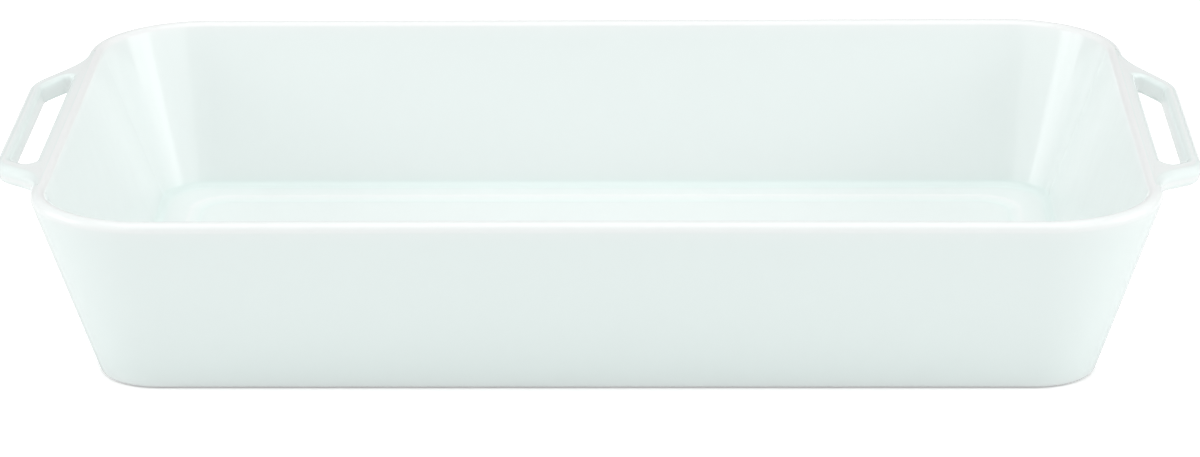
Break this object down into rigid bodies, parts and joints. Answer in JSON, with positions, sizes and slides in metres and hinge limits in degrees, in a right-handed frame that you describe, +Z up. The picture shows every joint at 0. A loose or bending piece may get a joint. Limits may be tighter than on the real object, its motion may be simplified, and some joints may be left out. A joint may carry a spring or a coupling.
{
  "type": "lasagna dish",
  "caption": "Deep rectangular porcelain baking dish with flared walls, a full round lip, a stepped floor and an open ear handle at each end.",
  "frame": {"origin": "middle of the standing face, on the surface that the dish stands on", "axes": "+Z up, +X along the length towards the right handle, +Y across the width towards the back wall"},
  "size_m": [0.3662, 0.2152, 0.058],
  "materials": {
    "white_glaze": "clear gloss glaze over white porcelain, faintly cool where it lies thick",
    "bare_porcelain": "unglazed, ground matt"
  },
  "bodies": {
    "root": {"basin": "white_glaze", "handle_left": "white_glaze", "handle_right": "white_glaze", "foot_ring": "bare_porcelain"}
  },
  "joints": []
}
